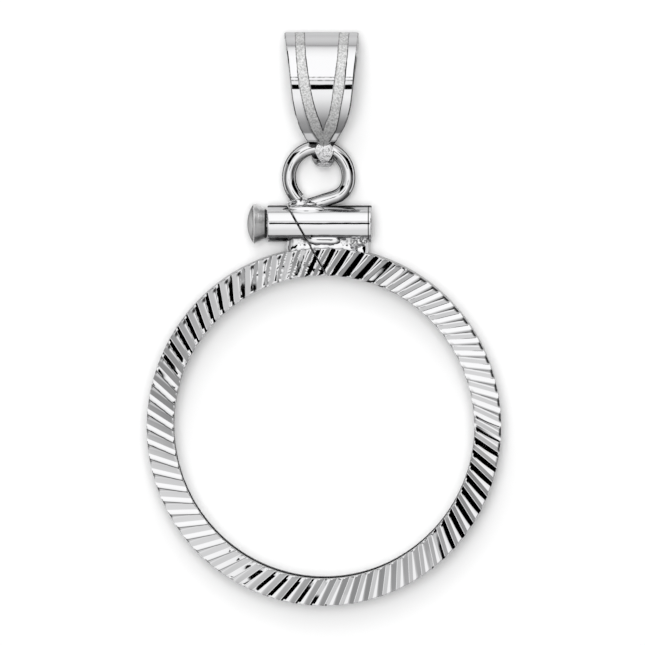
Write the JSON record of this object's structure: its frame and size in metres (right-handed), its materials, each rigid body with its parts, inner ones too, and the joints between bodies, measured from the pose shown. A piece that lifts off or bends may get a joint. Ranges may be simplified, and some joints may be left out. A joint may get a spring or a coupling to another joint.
{
  "type": "empty screw-top coin bezel pendant",
  "caption": "Empty ring pendant that holds a small coin: fluted front, split ring clamped by a screw in a barrel, wire loop and tapered chain bail.",
  "frame": {"origin": "centre of the coin ring, on the surface that the pendant lies on", "axes": "+X right and +Y from the ring to the bail as seen from the front, +Z out of the fluted front face"},
  "size_m": [0.0184, 0.0296, 0.0031],
  "materials": {
    "polished_white_gold": "polished white gold with bright-cut flutes",
    "bail_white_gold": "polished white gold with two frosted bands in a V",
    "screw_white_gold": "turned and brushed, not polished"
  },
  "bodies": {
    "frame": {"bezel_frame": "polished_white_gold"},
    "bail": {"bail": "bail_white_gold"},
    "screw": {"clamp_screw": "screw_white_gold"}
  },
  "joints": [
    {"name": "bail_swing", "type": "hinge", "parent": "frame", "child": "bail", "pos_m": [-0.00015, 0.01441, 0.00108], "axis": [1, 0, 0], "range_deg": [-110, 105]},
    {"name": "screw_out", "type": "slide", "parent": "frame", "child": "screw", "axis": [-1, 0, 0], "range_m": [0, 0.0039]}
  ]
}
